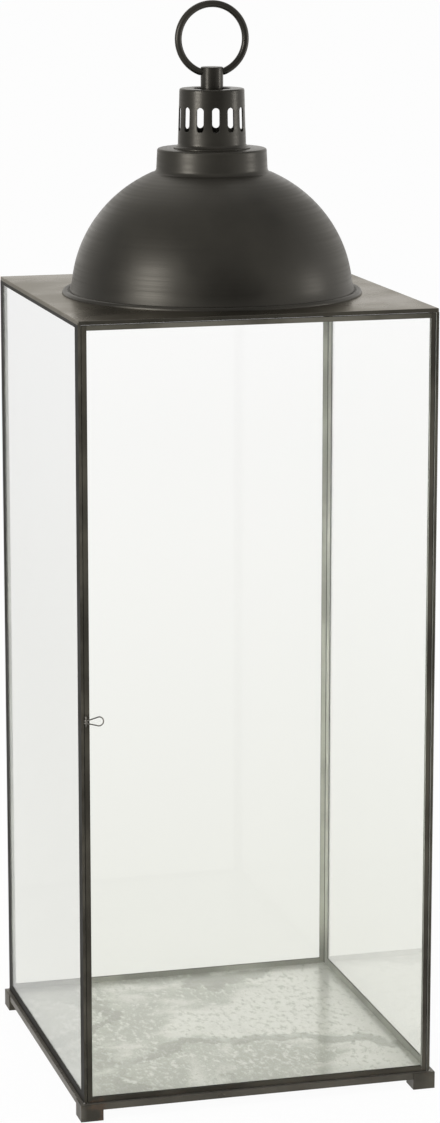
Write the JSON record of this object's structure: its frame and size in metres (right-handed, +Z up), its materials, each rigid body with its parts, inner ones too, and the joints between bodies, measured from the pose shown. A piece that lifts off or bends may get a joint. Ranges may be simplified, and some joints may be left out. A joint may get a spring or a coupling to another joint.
{
  "type": "lantern floor lamp",
  "caption": "Tall square glazed floor lantern for a candle: hinged glass door with a wire pull, zinc floor, spun dome, slotted chimney and carrying ring.",
  "frame": {"origin": "on the floor, under the middle of the case", "axes": "+Z up, -Y towards the side with the door, +X to the right seen from the door's side"},
  "size_m": [0.338, 0.338, 0.9968],
  "materials": {
    "black_steel": "blackened steel with a warm grey tone, satin, lightly worn",
    "bare_steel": "plain drawn steel wire and pins, slightly dulled",
    "zinc_sheet": "pale galvanised sheet with a cloudy mottle, semi-gloss",
    "clear_glass": "clear window glass, flat and glossy"
  },
  "bodies": {
    "case": {"foot_front_left": "black_steel", "foot_front_right": "black_steel", "foot_back_left": "black_steel", "foot_back_right": "black_steel", "base_tray": "black_steel", "zinc_floor": "zinc_sheet", "left_front_post": "black_steel", "left_back_post": "black_steel", "right_front_post": "black_steel", "right_back_post": "black_steel", "left_sill": "black_steel", "left_head": "black_steel", "right_sill": "black_steel", "right_head": "black_steel", "back_left_stile": "black_steel", "back_right_stile": "black_steel", "back_sill": "black_steel", "back_head": "black_steel", "left_glass": "clear_glass", "right_glass": "clear_glass", "back_glass": "clear_glass", "door_stop": "black_steel", "top_plate": "black_steel", "dome": "black_steel", "chimney": "black_steel", "stem_bridge": "black_steel", "stem_screw": "bare_steel", "stem": "black_steel"},
    "door": {"door_latch_stile": "black_steel", "door_hinge_stile": "black_steel", "door_bottom_rail": "black_steel", "door_top_rail": "black_steel", "door_glass": "clear_glass", "door_pivot_pins": "bare_steel", "pull_staple": "bare_steel"},
    "pull": {"pull_loop": "bare_steel"},
    "ring": {"ring": "black_steel"}
  },
  "joints": [
    {"name": "door_hinge", "type": "hinge", "parent": "case", "child": "door", "pos_m": [0.1594, -0.1628, 0.3718], "axis": [0, 0, 1], "range_deg": [0, 105]},
    {"name": "pull_swing", "type": "hinge", "parent": "door", "child": "pull", "pos_m": [-0.1611, -0.16708, 0.374], "axis": [0, 0, -1], "range_deg": [0, 170]},
    {"name": "ring_tilt", "type": "hinge", "parent": "case", "child": "ring", "pos_m": [0, 0, 0.93255], "axis": [1, 0, 0], "range_deg": [-130, 130]}
  ]
}
